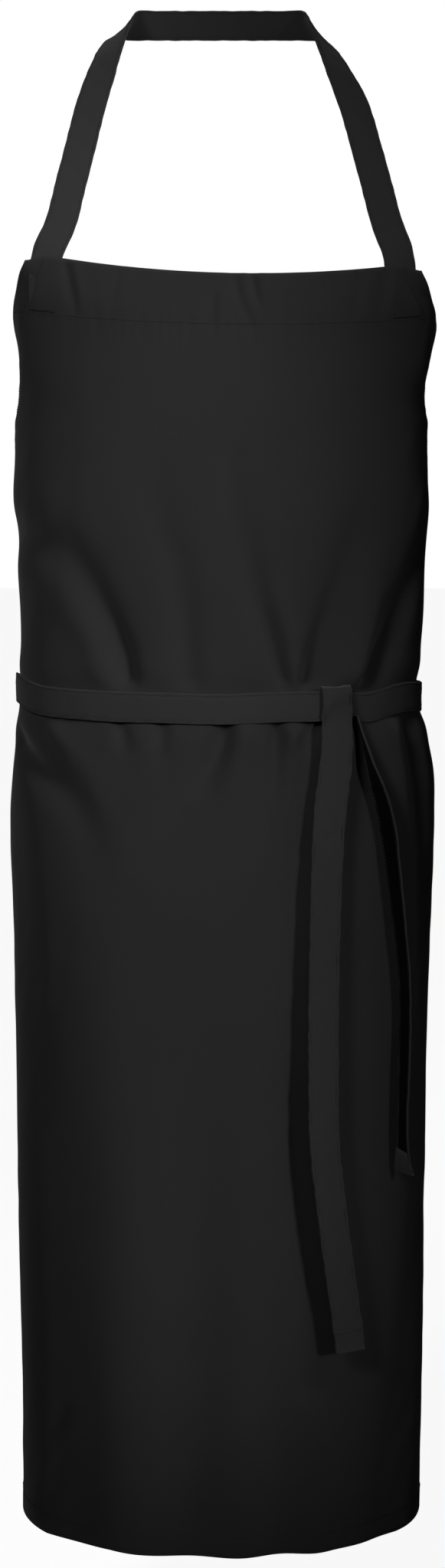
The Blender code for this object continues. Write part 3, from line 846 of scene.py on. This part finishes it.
def neck_line():
    """Whole neck strap, from its sewn end in the left corner to the one in the right."""
    left_places, left_heads = neck_half(NECK_LEFT, -1.0)
    right_places, right_heads = neck_half(NECK_RIGHT, 1.0)
    points = np.array(left_places + right_places[::-1])
    heads = np.array(left_heads + right_heads[::-1])
    length = arc_length(points)
    at = np.linspace(0.0, length[-1], 400)
    middles = hermite(length, points, at)
    run = unit(np.gradient(middles, axis=0))
    return even(middles, square_to(run, hermite(length, heads, at)) * STRAP_WIDTH / 2.0)


def make_neck_strap():
    """The neck strap with its sewn ends and stitching."""
    middles, halves, length = neck_line()
    strap = strap_piece("neck_strap_cloth", middles, halves, None, seed=2.0)
    stitches = strap_stitches("neck_strap_stitching", middles, halves, None)
    for piece in (strap, stitches):
        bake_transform(piece)
    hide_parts("neck_strap", "neck_strap_sewn_end_left", "neck_strap_sewn_end_right")
    return strap, length


# ---------------------------------------------------------------- waist ties

UP = np.array((0.0, 0.0, 1.0))
waist_sizes = body_sizes(np.array([WAIST_DROP]))[0]
WAIST_ROUND = float(oval_lengths(*waist_sizes)[1][-1])
# Distance along at which the panel's other back edge lies, counted on round the back
FAR_EDGE = WAIST_ROUND - PANEL_HALF_WIDTH
TIE_START = PANEL_HALF_WIDTH - TIE_SEWN_LENGTH
TIE_DRAW_IN = 0.0070
LEFT_TIE_END = WAIST_ROUND + KNOT_ALONG + 0.010
RIGHT_TIE_END = WAIST_ROUND - KNOT_ALONG + 0.006

# How far each tie stands off the body's oval: distance along, out
LEFT_TIE_OUT = np.array((
    (TIE_START, -0.0030),
    (0.385, -0.0028),
    (0.430, 0.0016),
    (0.485, 0.0018),
    (0.550, 0.0018),
    (0.600, 0.0026),
    (WAIST_ROUND, 0.0024),
    (WAIST_ROUND + 0.045, 0.0025),
    (WAIST_ROUND + 0.088, 0.0052),
    (WAIST_ROUND + 0.12, 0.0056),
))
RIGHT_TIE_OUT = np.array((
    (TIE_START, -0.0030),
    (0.385, -0.0028),
    (0.440, -0.0016),
    (0.485, -0.0016),
    (0.520, -0.0012),
    (FAR_EDGE - 0.012, 0.0026),
    (FAR_EDGE + 0.02, 0.0027),
    (RIGHT_TIE_END - 0.055, 0.0030),
    (RIGHT_TIE_END - 0.018, 0.0026),
    (RIGHT_TIE_END, 0.0024),
))
# Where each tie rides higher or lower than the band: distance along, height, width
LEFT_TIE_RISES = ((WAIST_ROUND - 0.225, 0.0085, 0.045), (WAIST_ROUND - 0.02, -0.0015, 0.10))
RIGHT_TIE_RISES = ((RIGHT_TIE_END - 0.040, -0.0032, 0.022), (RIGHT_TIE_END - 0.095, 0.0030, 0.040))
TIE_WAVE = 0.0006
# The right tie's lean outward as it turns in behind the knot
RIGHT_TIE_LEAN = 0.25


def waist_point(along, z, out, mirror=1.0):
    """Points round the waist; the right side is drawn in as the cloth's is."""
    turns = np.floor(along / WAIST_ROUND)
    angle = oval_angle(along - turns * WAIST_ROUND, *waist_sizes) + turns * 2.0 * math.pi
    sizes = body_sizes(BIB_TOP_Z - np.asarray(z, float))
    x, y = oval_place(angle, sizes[..., 0], sizes[..., 1], out)
    x = x * mirror
    x = x - TIE_DRAW_IN * np.clip(x / waist_sizes[0], 0.0, 1.0)**3
    return np.stack([x, y, np.broadcast_to(z, x.shape)], axis=-1)


def tie_height(along, rises, wavelength, seed):
    z = TIE_SEWN_Z + (TIE_BAND_Z - TIE_SEWN_Z) * smoothstep(PANEL_HALF_WIDTH, FAR_EDGE, along)
    for centre, height, width in rises:
        z = z + height * bell(along - centre, width)
    return z + TIE_WAVE * ripple(along, wavelength, seed)


def left_tie_line():
    """Tie sewn to the right back edge: across the back, round the left side, to the knot."""
    along = np.linspace(TIE_START, LEFT_TIE_END, 420)
    out = hermite(LEFT_TIE_OUT[:, 0], LEFT_TIE_OUT[:, 1], along)
    middles = waist_point(along, tie_height(along, LEFT_TIE_RISES, 0.16, 4.0), out)
    run = unit(np.gradient(middles, axis=0))
    return even(middles, square_to(run, UP + np.zeros_like(middles)) * STRAP_WIDTH / 2.0)


def right_tie_line():
    """Tie sewn to the left back edge: across the back, round the right side, in behind the knot."""
    along = np.linspace(TIE_START, RIGHT_TIE_END, 360)
    out = hermite(RIGHT_TIE_OUT[:, 0], RIGHT_TIE_OUT[:, 1], along)
    z = tie_height(along, RIGHT_TIE_RISES, 0.14, 6.0)
    middles = waist_point(along, z, out, -1.0)
    outward = unit(waist_point(along, z, out + 0.01, -1.0) - middles)
    lean = RIGHT_TIE_LEAN * bell(along - (RIGHT_TIE_END - 0.020), 0.018)
    run = unit(np.gradient(middles, axis=0))
    return even(middles, square_to(run, UP + outward * lean[:, None]) * STRAP_WIDTH / 2.0)


def make_tie(name, line, seed, rumple):
    """One tie's run round the waist with its stitching."""
    middles, halves, length = line
    tie = strap_piece(name + "_cloth", middles, halves, "apron", seed=seed, rumple=rumple)
    strap_stitches(name + "_stitching", middles, halves, "apron")
    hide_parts(name)
    return tie, length


# ---------------------------------------------------------------- knot and tails

knot_middle = waist_point(np.array([KNOT_ALONG]), TIE_BAND_Z, 0.0)[0]
knot_out = unit(waist_point(np.array([KNOT_ALONG]), TIE_BAND_Z, 0.01)[0] - knot_middle)
knot_across = np.array((-knot_out[1], knot_out[0], 0.0))

# Knot: distance out of the panel, height over the band's middle, shift across
KNOT_KEYS = (
    (0.0022, -0.0120, 0.0010),
    (0.0022, 0.0010, 0.0005),
    (0.0026, 0.0100, 0.0),
    (0.0042, 0.0150, 0.0),
    (0.0066, 0.0160, 0.0),
    (0.0086, 0.0120, 0.0),
    (0.0092, 0.0020, 0.0),
    (0.0088, -0.0100, 0.0),
)
# Front tail below the knot: height, distance to the right, and how far it hangs off the skirt
FRONT_TAIL_KEYS = (
    (-0.632, 0.0970, 0.0115),
    (-0.687, 0.0910, 0.0125),
    (-0.740, 0.0884, 0.0135),
    (-0.793, 0.0870, 0.0148),
    (-0.860, 0.0860, 0.0165),
    (-0.920, 0.0862, 0.0180),
    (-0.959, 0.0868, 0.0188),
    (-1.032, 0.0944, 0.0200),
    (-1.085, 0.1015, 0.0205),
    (-1.120, 0.1067, 0.0208),
    (-1.153, 0.1108, 0.0210),
)
# Front tail's turn about its length as it leaves the knot, its slow sway, and its wider stretch
FRONT_TAIL_TURN = 0.28
FRONT_TAIL_SWAY = 0.08
FRONT_TAIL_WIDER = 0.08
FRONT_TAIL_WIDER_AT = 0.09
# Side tail by its fall below the band: rear edge's x, front edge's x, how far apart they stand in y
SIDE_TAIL_KEYS = np.array((
    (-0.010, 0.1135, 0.1150, 0.0060),
    (0.002, 0.1172, 0.1190, 0.0085),
    (0.018, 0.1210, 0.1245, 0.0150),
    (0.034, 0.1240, 0.1308, 0.0205),
    (0.054, 0.1285, 0.1395, 0.0220),
    (0.080, 0.1345, 0.1470, 0.0225),
    (0.120, 0.1410, 0.1522, 0.0230),
    (0.164, 0.1473, 0.1570, 0.0237),
    (0.225, 0.1545, 0.1625, 0.0244),
    (0.290, 0.1552, 0.1626, 0.0246),
    (0.355, 0.1545, 0.1612, 0.0248),
    (0.375, 0.1540, 0.1625, 0.0240),
    (0.392, 0.1520, 0.1665, 0.0205),
))
SIDE_TAIL_TOP_Z = TIE_BAND_Z - STRAP_WIDTH / 2.0 - 0.006
SIDE_TAIL_OFF_SKIRT = 0.0018
# Folded tips: distance off the tail, thickness, share of the tail's width, place of their stitches
TIP_OFF = 0.0015
TIP_THICK = 0.0011
TIP_NARROWER = 0.985
TIP_STITCHES = END_HEM - 0.003
TIP_STITCHES_ACROSS = 0.80
TIP_STITCHES_DEEP = 0.46


def skirt_y(x, z):
    """The smooth skirt's front at a place."""
    sizes = body_sizes(BIB_TOP_Z - z)
    return BODY_Y - sizes[..., 1] * np.sqrt(np.clip(1.0 - (x / sizes[..., 0])**2, 0.0, 1.0))


def front_tail_line():
    """The tie's end: up behind the band, over its top edge, and down in front of the skirt."""
    points = [knot_middle + knot_out * out + UP * rise + knot_across * shift
              for out, rise, shift in KNOT_KEYS]
    points += [np.array((x, skirt_y(x, z) - off, z)) for z, x, off in FRONT_TAIL_KEYS]
    points = np.array(points)
    length = arc_length(points)
    at = np.linspace(0.0, length[-1], 500)
    middles = hermite(length, points, at)
    turn = FRONT_TAIL_SWAY * smoothstep(0.05, 0.45, at) * np.sin(at * 9.0)
    turn = turn + FRONT_TAIL_TURN * smoothstep(0.055, 0.13, at)
    across = knot_across * np.cos(turn)[:, None] + knot_out * np.sin(turn)[:, None]
    run = unit(np.gradient(middles, axis=0))
    wider = FRONT_TAIL_WIDER * bell(at - FRONT_TAIL_WIDER_AT, FRONT_TAIL_WIDER_AT)
    return even(middles, square_to(run, across) * (STRAP_WIDTH / 2.0 * (1.0 + wider))[:, None])


def side_tail_line():
    """The other tie's end, hanging on edge by the hip."""
    fall = np.linspace(SIDE_TAIL_KEYS[0, 0], SIDE_TAIL_KEYS[-1, 0], 400)
    rear_x, front_x, apart = hermite(SIDE_TAIL_KEYS[:, 0], SIDE_TAIL_KEYS[:, 1:], fall).T
    z = SIDE_TAIL_TOP_Z - fall
    rear_y = skirt_y(rear_x, z) - SIDE_TAIL_OFF_SKIRT
    rear = np.stack([rear_x, rear_y, z], axis=1)
    front = np.stack([front_x, rear_y - apart, z], axis=1)
    return even((rear + front) / 2.0, (front - rear) / 2.0)


def tip_stitches(name, middles, halves, step):
    """One row of stitches across a tail's folded tip, on both faces."""
    at = len(middles) - 1 - int(TIP_STITCHES / step)
    face = strap_face(middles, halves)
    shares = np.linspace(-TIP_STITCHES_ACROSS, TIP_STITCHES_ACROSS, 8)
    starts = []
    ends = []
    normals = []
    for side in (1.0, -1.0):
        base = middles[at] + face[at] * side * STRAP_THICK * TIP_STITCHES_DEEP
        for low, high in zip(shares[:-1], shares[1:]):
            starts.append(base + halves[at] * low)
            ends.append(base + halves[at] * (low + (high - low) * SEAM_STITCH))
            normals.append(face[at] * side)
    return stitch_row(name, np.array(starts), np.array(ends), np.array(normals), None)


def make_tail(name, line, tip_side, seed, above, below, replaced, **looks):
    """A hanging end with its stitching and folded tip."""
    middles, halves, length = line
    tail = strap_piece(name + "_cloth", middles, halves, None, seed=seed, **looks)
    sewing = strap_stitches(name + "_stitching", middles, halves, None, skip=TAIL_SKIP)
    step = np.linalg.norm(middles[1] - middles[0])
    count = max(int(END_HEM / step), 4)
    face = strap_face(middles, halves)[-count:]
    off = face * np.sign(np.sum(face[-1] * tip_side)) * TIP_OFF
    tip = strap_piece(name + "_hem_cloth", middles[-count:] + off, halves[-count:] * TIP_NARROWER, None,
                      thick=TIP_THICK, seed=seed + 0.5)
    stitches = tip_stitches(name + "_hem_stitching", middles, halves, step)
    for piece in (tail, sewing, tip, stitches):
        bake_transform(piece)
    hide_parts(*replaced)
    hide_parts(name + "_end_hem")
    return tail, length


# ---------------------------------------------------------------- thread tacks

TACK_STITCHES = 34
TACK_HALF_WIDTH = 0.011
TACK_LEAN = 0.0008
TACK_STEP = 0.0003
TACK_OFF = 0.0002
NECK_TACK_ALONG = 0.154
NECK_TACK_DROP = TOP_HEM - 0.004
NECK_TACK_HALF = 0.00022
TIE_TACK_ALONG = PANEL_HALF_WIDTH - TIE_SEWN_LENGTH / 2.0 - 0.003
TIE_TACK_DROP = BIB_TOP_Z - TIE_SEWN_Z
TIE_TACK_HALF = 0.0003


def make_bartacks():
    """Dense zigzag tacks over the straps' sewn ends; each replaces its plain solid."""
    out = CLOTH_THICK / 2.0 + TACK_OFF
    across = np.linspace(-TACK_HALF_WIDTH, TACK_HALF_WIDTH, TACK_STITCHES)
    lean = TACK_LEAN * (-1.0)**np.arange(TACK_STITCHES)
    for side, sign in (("left", -1.0), ("right", 1.0)):
        along = sign * (NECK_TACK_ALONG + across)
        begin = (along, NECK_TACK_DROP - lean)
        finish = (along + TACK_STEP, NECK_TACK_DROP + lean)
        tack = panel_stitches("neck_bartack_thread_" + side, begin, finish, out, NECK_TACK_HALF)
        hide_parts("neck_bartack_" + side)
        drop = TIE_TACK_DROP + across
        begin = (sign * TIE_TACK_ALONG - lean, drop)
        finish = (sign * TIE_TACK_ALONG + lean, drop + TACK_STEP)
        tack = panel_stitches("tie_bartack_thread_" + side, begin, finish, out, TIE_TACK_HALF)
        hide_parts("tie_bartack_" + side)


# ---------------------------------------------------------------- camera and light

CAMERA_BACK = 2.3216
CAMERA_Z = -0.4194
CAMERA_DOWN = 0.1088
LENS = 59.94
SENSOR = 36.0
FLOOR_Z = -1.52
FLOOR_HALF = 30.0
FLOOR_GREY = 0.55
FLOOR_ROUGHNESS = 0.9
FLOOR_WHITE = 0.93
ROOM_LIGHT = 0.008


def make_camera():
    data = bpy.data.cameras.new("camera")
    data.lens = LENS
    data.sensor_width = SENSOR
    camera = bpy.data.objects.new("camera", data)
    camera.location = (0.0, BODY_Y - CAMERA_BACK, CAMERA_Z)
    camera.rotation_euler = (math.pi / 2.0 - CAMERA_DOWN, 0.0, 0.0)
    bpy.context.scene.collection.objects.link(camera)
    bpy.context.scene.camera = camera


def area_light(name, place, target, size, power, spread):
    data = bpy.data.lights.new(name, "AREA")
    data.shape = "RECTANGLE"
    data.size, data.size_y = size
    data.energy = power
    data.spread = math.radians(spread)
    made = bpy.data.objects.new(name, data)
    made.location = place
    made.rotation_euler = (Vector(target) - Vector(place)).to_track_quat("-Z", "Y").to_euler()
    bpy.context.scene.collection.objects.link(made)


def make_floor():
    """Plain pale floor; it looks nearly white but throws little light up."""
    corners = [(x * FLOOR_HALF, y * FLOOR_HALF, FLOOR_Z) for x, y in ((-1, -1), (1, -1), (1, 1), (-1, 1))]
    mesh = bpy.data.meshes.new("floor")
    mesh.from_pydata(corners, [], [(0, 1, 2, 3)])
    made, nodes, links, shader = new_material("pale_floor")
    shader.inputs["Base Color"].default_value = (FLOOR_GREY, FLOOR_GREY, FLOOR_GREY, 1.0)
    shader.inputs["Roughness"].default_value = FLOOR_ROUGHNESS
    glow = nodes.new("ShaderNodeEmission")
    seen = nodes.new("ShaderNodeLightPath")
    strength = math_node(nodes, links, "MULTIPLY", seen.outputs["Is Camera Ray"], FLOOR_WHITE)
    links.new(strength, glow.inputs["Strength"])
    both = nodes.new("ShaderNodeAddShader")
    links.new(shader.outputs[0], both.inputs[0])
    links.new(glow.outputs[0], both.inputs[1])
    links.new(both.outputs[0], nodes["Material Output"].inputs["Surface"])
    mesh.materials.append(made)
    floor = bpy.data.objects.new("floor", mesh)
    bpy.context.scene.collection.objects.link(floor)


def make_surroundings():
    """White to look at, but hardly any light from it."""
    world = bpy.data.worlds.new("studio")
    world.use_nodes = True
    nodes = world.node_tree.nodes
    links = world.node_tree.links
    white = nodes["Background"]
    dim = nodes.new("ShaderNodeBackground")
    for background, strength in ((white, 1.0), (dim, ROOM_LIGHT)):
        background.inputs["Color"].default_value = (1.0, 1.0, 1.0, 1.0)
        background.inputs["Strength"].default_value = strength
    seen = nodes.new("ShaderNodeLightPath")
    mix = nodes.new("ShaderNodeMixShader")
    links.new(seen.outputs["Is Camera Ray"], mix.inputs[0])
    links.new(dim.outputs[0], mix.inputs[1])
    links.new(white.outputs[0], mix.inputs[2])
    links.new(mix.outputs[0], nodes["World Output"].inputs["Surface"])
    bpy.context.scene.world = world
    bpy.context.scene.view_settings.view_transform = "Standard"


# ---------------------------------------------------------------- making

make_camera()
make_floor()
make_surroundings()
area_light("key", (1.27, -1.70, 0.14), (-0.14, -0.15, -0.56), (0.28, 1.45), 1.0, 12.0)
area_light("front_fill", (-0.85, -1.96, 0.45), (-0.03, -0.15, -0.46), (0.5, 0.5), 2.3, 60.0)

panel = make_panel()
make_hems()
make_seams()
neck, neck_length = make_neck_strap()
tie_left, tie_left_length = make_tie("waist_tie_round_left", left_tie_line(), 4.0, 0.00020)
tie_right, tie_right_length = make_tie("waist_tie_round_right", right_tie_line(), 6.0, STRAP_RUMPLE)
tail_front, tail_front_length = make_tail(
    "front_tail", front_tail_line(), knot_out, 8.0, 0.004, 0.030, ("knot_wrap", "front_tail"),
    rumple=0.00065, cup=0.0005)
# The side tail's face turned away from the light is painted near-black as shade
tail_side, tail_side_length = make_tail(
    "side_tail", side_tail_line(), np.array((-1.0, 0.0, 0.0)), 10.0, 0.006, 0.035, ("side_tail",),
    dark_face=True)
make_bartacks()
